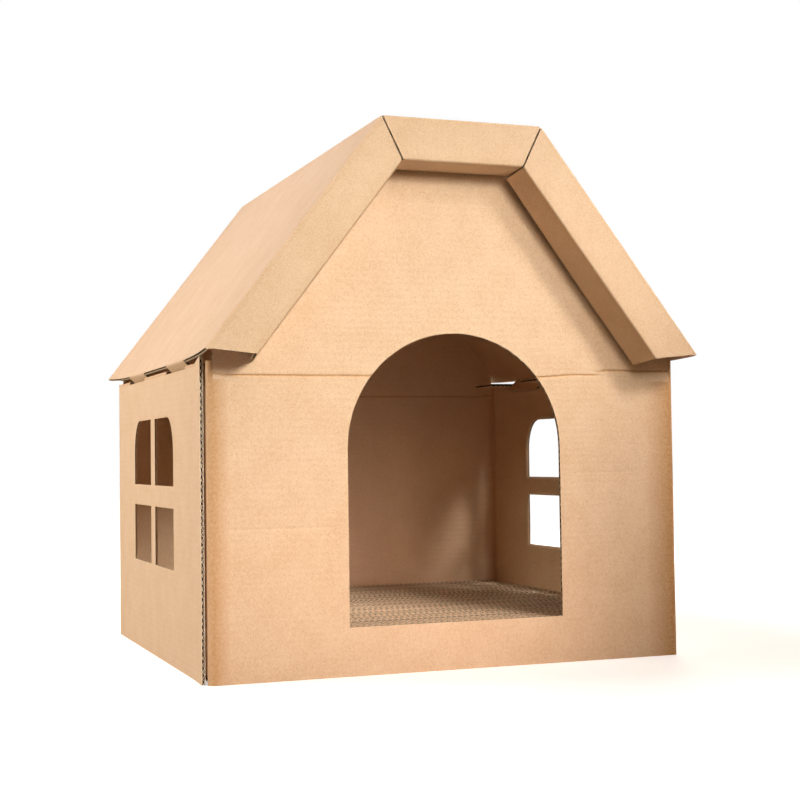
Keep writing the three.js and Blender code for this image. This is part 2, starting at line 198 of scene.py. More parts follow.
for name, (at, width, watts, colour, spread, aim) in SOFT_BOXES.items():
    bpy.ops.object.light_add(type="AREA", location=at)
    lamp = bpy.context.object
    lamp.name = name
    lamp.data.size = width
    lamp.data.energy = watts
    lamp.data.color = linear(colour)[:3]
    lamp.data.spread = math.radians(spread)
    lamp.rotation_euler = (Vector(at) - Vector(aim)).to_track_quat("Z", "Y").to_euler()


# Kraft liner: the brown paper on both faces of the board, machine-glazed wood pulp. It is matt,
# cloudy where the pulp lies thick, flecked with short fibres, and faintly ribbed by the flutes
# under it. Along a fold it is crushed and reddened in streaks. The same crushed colour, laid in a
# band beside the front panel's right fold, is painted shade there. Real flecks are under 0.5 mm
# across: they are drawn coarser, so that they show.
KRAFT_PALE = "#f3d2ae"
KRAFT_DEEP = "#ecc8a1"
KRAFT_FLECK_DARK = "#c99c6e"
KRAFT_FLECK_PALE = "#f8dfc0"
KRAFT_CRUSHED_AND_SHADE = "#cb9459"
FLUTE_PITCH = 5.6 * MM
CLOUD_SIZE = 28 * MM
FIBRE_SIZE = 1.25 * MM
STREAK_SIZE = 2.2 * MM
RIB_HEIGHT = 0.3 * MM
FUZZ_HEIGHT = 0.12 * MM

kraft_liner, tree = bare_material("kraft_liner")
coords = add_node(tree, "ShaderNodeTexCoord")
place = coords.outputs["Object"]
clouds = add_node(tree, "ShaderNodeTexNoise", {"Scale": 1 / CLOUD_SIZE, "Detail": 4.0, "Roughness": 0.6},
                  {"Vector": place})
clouded = add_node(tree, "ShaderNodeValToRGB", None, {"Fac": clouds.outputs["Fac"]})
clouded.color_ramp.elements[0].position = 0.3
clouded.color_ramp.elements[0].color = linear(KRAFT_DEEP)
clouded.color_ramp.elements[1].position = 0.68
clouded.color_ramp.elements[1].color = linear(KRAFT_PALE)
fibres = add_node(tree, "ShaderNodeTexNoise", {"Scale": 1 / FIBRE_SIZE, "Detail": 2.0, "Roughness": 0.7},
                  {"Vector": place})
dark_flecks = add_node(tree, "ShaderNodeMapRange", {
    "From Min": 0.54,
    "From Max": 0.76,
    "To Max": 0.5,
}, {"Value": fibres.outputs["Fac"]})
pale_flecks = add_node(tree, "ShaderNodeMapRange", {
    "From Min": 0.48,
    "From Max": 0.3,
    "To Max": 0.7,
}, {"Value": fibres.outputs["Fac"]})
speckled = add_node(tree, "ShaderNodeMix", {"data_type": "RGBA", 7: linear(KRAFT_FLECK_DARK)}, {
    0: dark_flecks.outputs["Result"],
    6: clouded.outputs["Color"],
})
speckled = add_node(tree, "ShaderNodeMix", {"data_type": "RGBA", 7: linear(KRAFT_FLECK_PALE)}, {
    0: pale_flecks.outputs["Result"],
    6: speckled.outputs[2],
})
across = add_node(tree, "ShaderNodeSeparateXYZ", None, {"Vector": coords.outputs["UV"]})
turns = add_node(tree, "ShaderNodeMath", {"operation": "MULTIPLY", 1: 2 * math.pi / FLUTE_PITCH},
                 {0: across.outputs["Y"]})
ribs = add_node(tree, "ShaderNodeMath", {"operation": "COSINE"}, {0: turns.outputs["Value"]})
# The crushed colour: crushing along the folds, and painted shade in the band beside the front panel's right
# fold.
crush_and_shade = add_node(tree, "ShaderNodeAttribute", {"attribute_name": "fold"})
streaks = add_node(tree, "ShaderNodeTexNoise", {"Scale": 1 / STREAK_SIZE, "Detail": 2.0}, {"Vector": place})
streaked = add_node(tree, "ShaderNodeMapRange", {
    "From Min": 0.3,
    "From Max": 0.7,
    "To Min": 0.28,
    "To Max": 0.46,
}, {"Value": streaks.outputs["Fac"]})
reddened = add_node(tree, "ShaderNodeMath", {"operation": "MULTIPLY", "use_clamp": True}, {
    0: crush_and_shade.outputs["Fac"],
    1: streaked.outputs["Result"],
})
coloured = add_node(tree, "ShaderNodeMix", {"data_type": "RGBA", 7: linear(KRAFT_CRUSHED_AND_SHADE)}, {
    0: reddened.outputs["Value"],
    6: speckled.outputs[2],
})
ribbed = add_node(tree, "ShaderNodeBump", {"Strength": 0.07, "Distance": RIB_HEIGHT},
                  {"Height": ribs.outputs["Value"]})
fuzzed = add_node(tree, "ShaderNodeBump", {"Strength": 0.25, "Distance": FUZZ_HEIGHT}, {
    "Height": fibres.outputs["Fac"],
    "Normal": ribbed.outputs["Normal"],
})
paper = add_node(tree, "ShaderNodeBsdfPrincipled", {"Roughness": 0.78, "IOR": 1.45}, {
    "Base Color": coloured.outputs[2],
    "Normal": fuzzed.outputs["Normal"],
})
add_node(tree, "ShaderNodeOutputMaterial", None, {"Surface": paper.outputs["BSDF"]})


# Cut edge: the same paper where the die has cut through it. Its torn pulp shows paler than the
# liner's glazed face, and takes the light without any shine.
CUT_PALE = "#fff4e0"
CUT_DEEP = "#e9cfa9"
TORN_PULP_SIZE = 1.0 * MM
PULP_HEIGHT = 0.15 * MM

cut_paper, tree = bare_material("die_cut_paper_edge")
place = add_node(tree, "ShaderNodeTexCoord").outputs["Object"]
pulp = add_node(tree, "ShaderNodeTexNoise", {"Scale": 1 / TORN_PULP_SIZE, "Detail": 3.0}, {"Vector": place})
torn = add_node(tree, "ShaderNodeValToRGB", None, {"Fac": pulp.outputs["Fac"]})
torn.color_ramp.elements[0].position = 0.35
torn.color_ramp.elements[0].color = linear(CUT_DEEP)
torn.color_ramp.elements[1].position = 0.6
torn.color_ramp.elements[1].color = linear(CUT_PALE)
rough = add_node(tree, "ShaderNodeBump", {"Strength": 0.5, "Distance": PULP_HEIGHT},
                 {"Height": pulp.outputs["Fac"]})
paper = add_node(tree, "ShaderNodeBsdfPrincipled", {"Roughness": 0.92, "IOR": 1.4}, {
    "Base Color": torn.outputs["Color"],
    "Normal": rough.outputs["Normal"],
})
add_node(tree, "ShaderNodeOutputMaterial", None, {"Surface": paper.outputs["BSDF"]})


# Fluting medium: the waved paper between the liners, rolled from recycled pulp. It is unglazed,
# coarser and darker than the liner, and mottled. Its colour is drawn darker still than real medium,
# as painted shade for the shadow deep in the flutes' pockets and on thin cut edges.
SHADED_MEDIUM_PALE = "#6f4d2d"
SHADED_MEDIUM_DEEP = "#4d341d"
RECYCLED_PULP_SIZE = 2.5 * MM

fluting_paper_with_shade, tree = bare_material("fluting_medium_paper_with_shade")
place = add_node(tree, "ShaderNodeTexCoord").outputs["Object"]
pulp = add_node(tree, "ShaderNodeTexNoise", {"Scale": 1 / RECYCLED_PULP_SIZE, "Detail": 4.0},
                {"Vector": place})
mottled = add_node(tree, "ShaderNodeValToRGB", None, {"Fac": pulp.outputs["Fac"]})
mottled.color_ramp.elements[0].position = 0.35
mottled.color_ramp.elements[0].color = linear(SHADED_MEDIUM_DEEP)
mottled.color_ramp.elements[1].position = 0.65
mottled.color_ramp.elements[1].color = linear(SHADED_MEDIUM_PALE)
rough = add_node(tree, "ShaderNodeBump", {"Strength": 0.4, "Distance": PULP_HEIGHT},
                 {"Height": pulp.outputs["Fac"]})
paper = add_node(tree, "ShaderNodeBsdfPrincipled", {"Roughness": 0.9, "IOR": 1.4}, {
    "Base Color": mottled.outputs["Color"],
    "Normal": rough.outputs["Normal"],
})
add_node(tree, "ShaderNodeOutputMaterial", None, {"Surface": paper.outputs["BSDF"]})


# The box: one sheet of B-flute board, die-cut flat and wrapped round four folds. It starts
# in a glue tab behind the front left corner, and ends there in its raw edge, over the tab.
BOARD = 3 * MM
LINER = 0.45 * MM
MEDIUM = 0.4 * MM
GLUE = 0.02 * MM
STEPS_IN_FLUTE = 8
LONGEST_CELL = 36 * MM
CORNER_RADIUS = 5 * MM
FOLD_STEP = math.radians(12)
CRUSH_REACH = 6 * MM
SQUEEZE_REACH = 1.5 * MM
THINNEST_INSIDE = 0.2 * MM
CREASE_LEG = 3.2 * MM
HALF_SCORE_GAP = 0.15 * MM
CLOSEST_STOPS = 0.05 * MM
HAIR = 1e-6
TOUCHING = 1e-7

front_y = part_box("front_wall")[0][1]
back_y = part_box("back_wall")[1][1]
left_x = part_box("left_wall")[0][0]
right_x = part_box("right_wall")[1][0]
tuck_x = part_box("front_wall")[0][0]
wall_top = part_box("front_wall")[1][2]
crease_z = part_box("front_gable")[0][2] - HALF_SCORE_GAP


def evenly(start, end, longest):
    """Stops from start to end, with no step longer than longest."""
    steps = max(1, math.ceil((end - start) / longest - HAIR))
    return [start + (end - start) * i / steps for i in range(steps + 1)]


def fold_path(start, heading, legs):
    """A sheet's outer face in section. Each leg is a straight length, then the angle and the
    outer radius of the turn to the left that ends it. Outside is on the right hand."""
    path, run = [], 0.0
    spot, heading = Vector(start), Vector(heading).normalized()
    for straight, angle, radius in legs:
        outwards = Vector((heading.y, -heading.x))
        path.append({"start": run, "end": run + straight, "spot": spot, "heading": heading,
                     "outwards": outwards, "radius": 0})
        spot = spot + heading * straight
        run += straight
        if angle:
            path.append({"start": run, "end": run + angle * radius, "spot": spot, "heading": heading,
                         "outwards": outwards, "radius": radius})
            run += angle * radius
            centre = spot - outwards * radius
            heading = heading * math.cos(angle) - outwards * math.sin(angle)
            spot = centre + Vector((heading.y, -heading.x)) * radius
    return path


def fold_gap(path, run):
    """How far a place on the sheet is from the nearest fold, and that fold's radius."""
    folds = [part for part in path if part["radius"]]
    gaps = [(max(part["start"] - run, run - part["end"], 0.0), part["radius"]) for part in folds]
    return min(gaps) if gaps else (1.0, 1.0)


def crush_along(path, run):
    return max(0.0, 1 - fold_gap(path, run)[0] / CRUSH_REACH)


def section_at(path, run, w):
    """Where a place on the sheet lies in the section. A tight fold squeezes the board."""
    part = [p for p in path if run >= p["start"] - TOUCHING][-1]
    gap, radius = fold_gap(path, run)
    loss = max(0.0, 1 - (radius - THINNEST_INSIDE) / BOARD) * max(0.0, 1 - gap / SQUEEZE_REACH)
    w *= 1 - loss
    on = run - part["start"]
    if not part["radius"]:
        return part["spot"] + part["heading"] * on + part["outwards"] * w
    angle = on / part["radius"]
    spoke = part["outwards"] * math.cos(angle) + part["heading"] * math.sin(angle)
    return part["spot"] - part["outwards"] * part["radius"] + spoke * (part["radius"] + w)


def stops_along(path):
    """Where a sheet needs a row of corners: close together in its folds and just beside them."""
    stops = []
    for part in path:
        if part["radius"]:
            stops += evenly(part["start"], part["end"], part["radius"] * FOLD_STEP)
            for reach in (SQUEEZE_REACH, CRUSH_REACH):
                stops += [part["start"] - reach, part["end"] + reach]
        else:
            stops += evenly(part["start"], part["end"], LONGEST_CELL)
    kept = []
    for stop in sorted(s for s in stops if 0 <= s <= path[-1]["end"]):
        if not kept or stop - kept[-1] > CLOSEST_STOPS:
            kept.append(stop)
    return kept


def lay_grid(name, columns, rows):
    """A flat sheet, u along x and v along y, with its corners at the given stops."""
    bpy.ops.mesh.primitive_grid_add(x_subdivisions=len(columns) - 1, y_subdivisions=len(rows) - 1, size=1)
    sheet = bpy.context.object
    sheet.name = name
    for point in sheet.data.vertices:
        column = round((point.co.x + 0.5) * (len(columns) - 1))
        row = round((point.co.y + 0.5) * (len(rows) - 1))
        point.co = (columns[column], rows[row], 0)
    return sheet


def apply_modifier(piece, kind, **settings):
    bpy.context.view_layer.objects.active = piece
    added = piece.modifiers.new(kind.title(), kind)
    for name, value in settings.items():
        setattr(added, name, value)
    bpy.ops.object.modifier_apply(modifier=added.name)


def join_pieces(pieces):
    bpy.ops.object.select_all(action="DESELECT")
    for piece in pieces:
        piece.select_set(True)
    bpy.context.view_layer.objects.active = pieces[0]
    bpy.ops.object.join()
    return pieces[0]


def flat_stock(name, columns, rows):
    """Uncut board lying flat: flutes along u, v across them, its outer face at w = 0."""
    layers = []
    for depth in (0, BOARD - LINER):
        sheet = lay_grid(name, columns, rows)
        sheet.data.materials.append(kraft_liner)
        sheet.data.materials.append(cut_paper)
        apply_modifier(sheet, "SOLIDIFY", thickness=LINER, offset=-1, material_offset_rim=1)
        for point in sheet.data.vertices:
            point.co.z -= depth
        layers.append(sheet)
    waves = evenly(rows[0], rows[-1], FLUTE_PITCH / STEPS_IN_FLUTE)
    wave_height = BOARD / 2 - LINER - GLUE - MEDIUM / 2
    sheet = lay_grid(name, columns, waves)
    sheet.data.materials.append(fluting_paper_with_shade)
    sheet.data.materials.append(cut_paper)
    for point in sheet.data.vertices:
        point.co.z = wave_height * math.cos(2 * math.pi * point.co.y / FLUTE_PITCH) - BOARD / 2
    apply_modifier(sheet, "SOLIDIFY", thickness=MEDIUM, offset=0, material_offset_rim=1)
    for point in sheet.data.vertices:
        point.co.y = min(max(point.co.y, rows[0]), rows[-1])
    layers.append(sheet)
    return join_pieces(layers)


def cutting_die(outlines):
    """Blades for the press: each outline in u and v becomes a prism through the board."""
    blades = []
    for outline in outlines:
        bpy.ops.mesh.primitive_circle_add(vertices=len(outline), fill_type="NGON")
        blade = bpy.context.object
        for point, (u, v) in zip(blade.data.vertices, outline):
            point.co = (u, v, BOARD)
        bpy.ops.object.mode_set(mode="EDIT")
        bpy.ops.mesh.select_all(action="SELECT")
        bpy.ops.mesh.extrude_region_move(TRANSFORM_OT_translate={"value": (0, 0, -3 * BOARD)})
        bpy.ops.mesh.select_all(action="SELECT")
        bpy.ops.mesh.normals_make_consistent(inside=False)
        bpy.ops.object.mode_set(mode="OBJECT")
        blade.data.materials.append(cut_paper)
        blades.append(blade)
    return join_pieces(blades)


def die_cut(stock, outlines, keep=False):
    """Cuts the outlines out of the stock, or keeps only what lies inside them."""
    die = cutting_die(outlines)
    apply_modifier(
        stock,
        "BOOLEAN",
        object=die,
        operation="INTERSECT" if keep else "DIFFERENCE",
        solver="EXACT",
        material_mode="TRANSFER",
    )
    bpy.data.objects.remove(die)


def box_outline(u0, v0, u1, v1):
    return [(u0, v0), (u1, v0), (u1, v1), (u0, v1)]


def fold_up(sheet, bend, crush_and_shade=None):
    """Sends each point of the flat sheet to its place in the house. bend takes u, v and w, and
    crush_and_shade says how far the liner there takes the crushed colour, from 0 to 1: crushing by a
    fold, and painted shade in the band beside the front panel's right fold."""
    mesh = sheet.data
    drawing = mesh.uv_layers.active or mesh.uv_layers.new(name="UVMap")
    for corner in mesh.loops:
        drawing.data[corner.index].uv = mesh.vertices[corner.vertex_index].co.xy
    fold = mesh.attributes.new("fold", "FLOAT", "POINT")
    for point in mesh.vertices:
        u, v, w = point.co
        fold.data[point.index].value = crush_and_shade(u, v) if crush_and_shade else 0.0
        point.co = bend(u, v, w)
    mesh.update()
    bpy.ops.object.select_all(action="DESELECT")
    sheet.select_set(True)
    bpy.context.view_layer.objects.active = sheet
    bpy.ops.object.shade_smooth_by_angle(angle=math.radians(30))


def fit(piece, body, nodes=(), swings_with=None):
    """Hangs a finished piece on its body, or, when it swings with a second body, only bakes its place into
    its mesh; and hides the CAD parts it stands for.
    """
    if swings_with:
        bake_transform(piece)
    else:
        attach(piece, body)
    if nodes:
        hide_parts(*nodes)


corner_turn = (math.pi / 2, CORNER_RADIUS)
wrap_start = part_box("glue_tab")[1][1]
raw_edge_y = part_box("left_wall_raw_edge")[0][1]
wrap_path = fold_path((tuck_x, wrap_start), (0, -1), [
    (wrap_start - (front_y + CORNER_RADIUS), *corner_turn),
    ((right_x - CORNER_RADIUS) - (tuck_x + CORNER_RADIUS), *corner_turn),
    ((back_y - CORNER_RADIUS) - (front_y + CORNER_RADIUS), *corner_turn),
    ((right_x - CORNER_RADIUS) - (left_x + CORNER_RADIUS), *corner_turn),
    ((back_y - CORNER_RADIUS) - raw_edge_y, 0, 0),
])
front_run, right_run, back_run, left_run = [p["start"] for p in wrap_path if not p["radius"]][1:]
corner_length = CORNER_RADIUS * math.pi / 2


def front_at(x):
    return front_run + x - (tuck_x + CORNER_RADIUS)


def right_at(y):
    return right_run + y - (front_y + CORNER_RADIUS)


def left_at(y):
    return left_run + (back_y - CORNER_RADIUS) - y


DOOR_LEFT, DOOR_RIGHT = -96.5 * MM, 103.5 * MM
DOOR_SILL, DOOR_SPRING = 41.5 * MM, 192 * MM
ARCH_STEPS = 40


def doorway_outline(at):
    """The doorway's outline. at gives the run along the sheet for a place across the house."""
    middle = (DOOR_LEFT + DOOR_RIGHT) / 2
    radius = (DOOR_RIGHT - DOOR_LEFT) / 2
    arch = [math.pi * i / ARCH_STEPS for i in range(ARCH_STEPS + 1)]
    return [(at(DOOR_LEFT), DOOR_SILL), (at(DOOR_RIGHT), DOOR_SILL)] + [
        (at(middle + radius * math.cos(a)), DOOR_SPRING + radius * math.sin(a)) for a in arch
    ]


WINDOW_MIDDLE = 14 * MM
WINDOW_HALF = 94 * MM
WINDOW_BAR_HALF = 10 * MM
LOW_PANES = (86 * MM, 141 * MM)
HIGH_PANES = (161 * MM, 224 * MM)
SHOULDER = (27 * MM, 33 * MM)
SHOULDER_STEPS = 10


def window_outlines(at):
    """The four panes of a side window. The upper ones have a rounded outer shoulder."""
    outlines = []
    quarter = [math.pi / 2 * i / SHOULDER_STEPS for i in range(SHOULDER_STEPS + 1)]
    for side in (-1, 1):
        inner = WINDOW_MIDDLE + side * WINDOW_BAR_HALF
        outer = WINDOW_MIDDLE + side * WINDOW_HALF
        outlines.append(box_outline(at(inner), LOW_PANES[0], at(outer), LOW_PANES[1]))
        shoulder = [(
            at(outer - side * SHOULDER[0] * (1 - math.cos(a))),
            HIGH_PANES[1] - SHOULDER[1] * (1 - math.sin(a)),
        ) for a in quarter]
        foot = [(at(inner), HIGH_PANES[0]), (at(outer), HIGH_PANES[0])]
        outlines.append(foot + shoulder + [(at(inner), HIGH_PANES[1])])
    return outlines


PRESS_REACH = 2.5 * MM
PRESSED_EDGE = (-0.3 * MM, -1.3 * MM)
WELD = 0.001 * MM


def grown(outline, reach):
    """The outline moved outwards by reach, with mitred corners."""
    corners = [Vector(corner) for corner in outline]
    turned = sum(a.cross(b) for a, b in zip(corners, corners[1:] + corners[:1]))
    moved = []
    for number, here in enumerate(corners):
        came = (here - corners[number - 1]).normalized()
        goes = (corners[(number + 1) % len(corners)] - here).normalized()
        off, off_next = Vector((came.y, -came.x)), Vector((goes.y, -goes.x))
        mitre = (off + off_next).normalized()
        moved.append(tuple(here + mitre * math.copysign(reach, turned) / mitre.dot(off)))
    return moved


def pressed_rim(outline):
    """The board's edge round a pane: the die pinches the liners together there as it cuts."""
    wide = grown(outline, PRESS_REACH)
    loops = [(wide, 0), (outline, PRESSED_EDGE[0]), (outline, PRESSED_EDGE[1]), (wide, -BOARD)]
    rim = lay_grid("pressed_rim", range(len(outline) + 1), range(len(loops) + 1))
    rim.data.materials.append(kraft_liner)
    rim.data.materials.append(fluting_paper_with_shade)
    # The narrow cut face between the pinched liners takes the dark medium paper: painted shade, standing in
    # for the shadow on that thin edge.
    for face in rim.data.polygons:
        face.material_index = 1 if int(face.center.y) == 1 else 0
    for point in rim.data.vertices:
        number, loop = round(point.co.x) % len(outline), round(point.co.y) % len(loops)
        point.co = (*loops[loop][0][number], loops[loop][1])
    bpy.ops.object.mode_set(mode="EDIT")
    bpy.ops.mesh.select_all(action="SELECT")
    bpy.ops.mesh.remove_doubles(threshold=WELD)
    bpy.ops.mesh.normals_make_consistent(inside=False)
    bpy.ops.object.mode_set(mode="OBJECT")
    return rim


flap_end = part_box("left_eave_flap_back")[1][1]
tab_rise, tab_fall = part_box("glue_tab")[0][2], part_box("glue_tab")[1][2]
crease_foot = crease_z - CREASE_LEG
clear = wall_top + BOARD

# The left wall's raw end has sprung out a little, and the front panel is rubbed redder in a band
# beside its left fold. Beside its right fold a wider band is drawn in the same crushed colour as
# painted shade, darkest at that fold. At the front, both side walls keep a post that stands above their
# tops.
SPRUNG = 1.3 * MM
SPRUNG_FROM = -172 * MM
LEFT_BAND, LEFT_TINT = 14 * MM, 1.8
RIGHT_SHADE_BAND, RIGHT_PAINTED_SHADE = 26 * MM, 2.2
POST_TOP = 270.5 * MM
POST_SHOULDER = 3 * MM
POST_MARGIN = 1 * MM
POST_SLANT = 1.5 * MM
SHAVING = 0.01 * MM
FAINT_CREASES = ((126.5 * MM, -210 * MM, -110 * MM), (168.5 * MM, 118 * MM, 190 * MM))
FAINT_HALF_WIDTH = 0.9 * MM
FAINT_DEPTH = 0.45 * MM

bpy.ops.object.select_all(action="DESELECT")
bands = [front_run + LEFT_BAND, right_run - corner_length - RIGHT_SHADE_BAND]
bands += [front_at(x) for _, x0, x1 in FAINT_CREASES for x in (x0, x1)]
rows = evenly(0, POST_TOP, LONGEST_CELL)
rows += [height + step * FAINT_HALF_WIDTH for height, _, _ in FAINT_CREASES for step in (-2, -1, 0, 1, 2)]
post_head = POST_TOP - SHAVING
sheet_end = wrap_path[-1]["end"]
wrap = flat_stock("wrap_round_box", sorted(stops_along(wrap_path) + bands), sorted(rows))
die_cut(wrap, [[
    (-BOARD, wall_top),
    (right_run - corner_length - POST_MARGIN, wall_top),
    (right_run - corner_length - POST_MARGIN, post_head),
    (right_run - POST_SHOULDER, post_head),
    (right_run + POST_SLANT, wall_top),
    (left_at(POST_MARGIN - flap_end), wall_top),
    (sheet_end, post_head),
    (sheet_end + BOARD, post_head),
    (sheet_end + BOARD, clear + BOARD),
    (-BOARD, clear + BOARD),
]])
panes = window_outlines(right_at) + window_outlines(left_at)
die_cut(wrap, [doorway_outline(front_at), *[grown(pane, PRESS_REACH) for pane in panes]])
die_cut(wrap, [
    box_outline(front_run, crease_foot, right_run - corner_length, clear),
    box_outline(back_run, crease_foot, left_run - corner_length, clear),
    box_outline(right_at(-flap_end), wall_top - CREASE_LEG, right_at(flap_end), clear),
    box_outline(left_at(flap_end), wall_top - CREASE_LEG, left_at(-flap_end), clear),
    box_outline(-BOARD, -BOARD, front_run - corner_length, tab_rise),
    box_outline(-BOARD, tab_fall, front_run - corner_length, clear),
])


def faint_dent(u, v):
    """The front panel was knocked flat once or twice in its box, and keeps a faint level crease."""
    for height, x0, x1 in FAINT_CREASES:
        if front_at(x0) - HAIR <= u <= front_at(x1) + HAIR:
            fade = math.sin(math.pi * (u - front_at(x0)) / (x1 - x0))
            return FAINT_DEPTH * max(fade, 0.0) * math.exp(-((v - height) / FAINT_HALF_WIDTH) ** 2)
    return 0.0


def wrap_round(u, v, w):
    place = section_at(wrap_path, u, w - faint_dent(u, v))
    sprung = max(0.0, SPRUNG_FROM - place.y) / (SPRUNG_FROM - raw_edge_y) if u > left_run else 0.0
    return place.x - SPRUNG * sprung ** 2, place.y, v


wrap = join_pieces([wrap, *[pressed_rim(pane) for pane in panes]])
# The fold attribute: crushing at each fold, the rubbed band by the left fold, and painted shade in the wider
# band by the right fold.
fold_up(wrap, wrap_round, lambda u, v: max(
    crush_along(wrap_path, u),
    LEFT_TINT * (1 - abs(u - front_run) / LEFT_BAND),
    RIGHT_PAINTED_SHADE * (1 - abs(u - right_run + corner_length) / RIGHT_SHADE_BAND),
))
fit(wrap, "box",
    ["front_wall", "back_wall", "left_wall", "right_wall", "left_wall_raw_edge", "glue_tab"])


# The gables: the end panels' own upper parts, with level flutes. Each folds inwards about a
# scored crease at the height of the eaves, and its upper edges hold up the roof.
ROOF_TOP = 472 * MM
RIDGE_HALF = 74 * MM
EAVE_AT = (226.5 * MM, 274 * MM)
GABLE_UNDER_ROOF = 3.4 * MM
SCORE_HALF_WIDTH = 0.8 * MM
SCORE_DEPTH = 0.95 * MM
SCORE_SQUEEZE = 0.3
SCORE_TINT, SCORE_TINT_REACH = 2, 1.4 * MM
SCORE_CURL = (1.6 * MM, -212 * MM, 7 * MM)
SCORE_CLIMBS = ((2.2 * MM, 85 * MM, 120 * MM), (4.3 * MM, 140 * MM, 147 * MM))
SCORE_COLUMN = 6 * MM
SCORE_ROW = 0.5 * MM
CREASE_STRIP_HEAD = 264.5 * MM
SLIT = 0.1 * MM
RIDGE_RELIEF = 5 * MM

post_x = right_x - CORNER_RADIUS - SLIT
slope_angle = math.atan2(ROOF_TOP - EAVE_AT[1], EAVE_AT[0] - RIDGE_HALF)
gable_top = ROOF_TOP - GABLE_UNDER_ROOF
gable_top_reach = RIDGE_HALF - GABLE_UNDER_ROOF * math.tan(slope_angle / 2)


def gable_outline(left, right):
    def shoulder(x):
        return gable_top - (abs(x) - gable_top_reach) * math.tan(slope_angle)

    return [
        (left, CREASE_STRIP_HEAD),
        (right, CREASE_STRIP_HEAD),
        (right, shoulder(right)),
        (gable_top_reach + RIDGE_RELIEF, shoulder(gable_top_reach + RIDGE_RELIEF)),
        (gable_top_reach - RIDGE_RELIEF, gable_top),
        (RIDGE_RELIEF - gable_top_reach, gable_top),
        (-gable_top_reach - RIDGE_RELIEF, shoulder(gable_top_reach + RIDGE_RELIEF)),
        (left, shoulder(left)),
    ]


def smooth_step(low, high, value):
    t = min(max((value - low) / (high - low), 0.0), 1.0)
    return t * t * (3 - 2 * t)


def score_height(x):
    """The sheet doesn't fold quite on its score: the fold curls up at the left end, and climbs
    in two steps beyond the doorway."""
    curl, curl_at, curl_reach = SCORE_CURL
    climb = sum(height * smooth_step(start, end, x) for height, start, end in SCORE_CLIMBS)
    return crease_z + curl * math.exp(-((x - curl_at) / curl_reach) ** 2) + climb


def score_bell(u, v):
    return math.exp(-((v - score_height(u)) / SCORE_HALF_WIDTH) ** 2)


def end_panel(face):
    """Stands a flat end panel up: face is -1 at the front of the house and 1 at the back."""
    outer = front_y if face < 0 else back_y

    def stand(u, v, w):
        dent = score_bell(u, v)
        return -face * u, outer + face * (w * (1 - SCORE_SQUEEZE * dent) - SCORE_DEPTH * dent), v

    return stand


for place, face in (("front", -1), ("back", 1)):
    left, right = -post_x if face > 0 else tuck_x + CORNER_RADIUS + SLIT, post_x
    gable = flat_stock(place + "_gable_board", evenly(left, right, LONGEST_CELL),
                       evenly(CREASE_STRIP_HEAD, gable_top, LONGEST_CELL))
    die_cut(gable, [gable_outline(left, right)], keep=True)
    crease = flat_stock(place + "_gable_crease", evenly(left, right, SCORE_COLUMN),
                        evenly(crease_foot, CREASE_STRIP_HEAD, SCORE_ROW))
    if face < 0:
        die_cut(gable, [doorway_outline(lambda x: x)])
        die_cut(crease, [doorway_outline(lambda x: x)])
    fold_up(gable, end_panel(face))
    fold_up(crease, end_panel(face),
            lambda u, v: SCORE_TINT * max(0.0, 1 - abs(v - score_height(u)) / SCORE_TINT_REACH))
    fit(gable, place + "_gable", [place + "_gable"])
    fit(crease, "box", (), place + "_gable")


# The eave flaps: the side walls' tops, folded inwards along the flutes to stiffen the eave.
# The gaps between them let the roof's tabs down.
TIGHT_RADIUS = 2 * MM

for side, name in ((-1, "left"), (1, "right")):
    for place in ("front", "middle", "back"):
        node = f"{name}_eave_flap_{place}"
        low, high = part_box(node)
        inner = min(abs(low[0]), abs(high[0]))
        flap_path = fold_path((right_x, wall_top - CREASE_LEG), (0, 1), [
            (CREASE_LEG - TIGHT_RADIUS, math.pi / 2, TIGHT_RADIUS),
            (right_x - TIGHT_RADIUS - inner, 0, 0),
        ])
        ends = sorted((side * low[1], side * high[1]))
        flap = flat_stock(node + "_board", evenly(*ends, LONGEST_CELL), stops_along(flap_path))

        def fold_in(u, v, w):
            across = section_at(flap_path, v, w)
            return side * across.x, side * u, across.y

        fold_up(flap, fold_in, lambda u, v: crush_along(flap_path, v))
        fit(flap, "box", [node])


# The floor: front and back flaps lie on the ground and meet in the middle, and the side flaps
# lie over them. They are cut in one with the walls, so their flutes run as the walls' do.
for place, face in (("front", -1), ("back", 1)):
    low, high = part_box(place + "_floor_flap")
    near, far = (low[1], high[1]) if face < 0 else (-high[1], -low[1])
    flap = flat_stock(place + "_floor_board", evenly(low[0], high[0], LONGEST_CELL),
                      evenly(near, far, LONGEST_CELL))
    fold_up(flap, lambda u, v, w: (-face * u, -face * v, low[2] - w))
    fit(flap, "box", [place + "_floor_flap"])

for side, name in ((-1, "left"), (1, "right")):
    low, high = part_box(name + "_floor_flap")
    near, far = sorted((-side * low[0], -side * high[0]))
    flap = flat_stock(name + "_floor_board", evenly(low[1], high[1], LONGEST_CELL),
                      evenly(near, far, LONGEST_CELL))
    fold_up(flap, lambda u, v, w: (-side * v, -side * u, low[2] - w))
    fit(flap, "box", [name + "_floor_flap"])


# The roof sheet's three faces, with flutes along the ridge. Each slope ends in two tabs, folded
# down along the eave, that drop into the gaps between the eave flaps.
EAVE_FRONT = 236 * MM
CREASE_REACH = 4.5 * MM
TAB_MIDDLE = 93 * MM
TAB_HALF = 38.7 * MM
TAB_DEPTH = 22 * MM
TAB_FOLD = math.radians(82.5)
TAB_SLIT = 0.6 * MM
TAB_SLIT_DEPTH = 2.6 * MM
EAVE_SAG = 5.5 * MM
ROOF_CRUSH = 0.3
FIRST_ROW = 1 * MM
BESIDE_TAB = 0.3 * MM

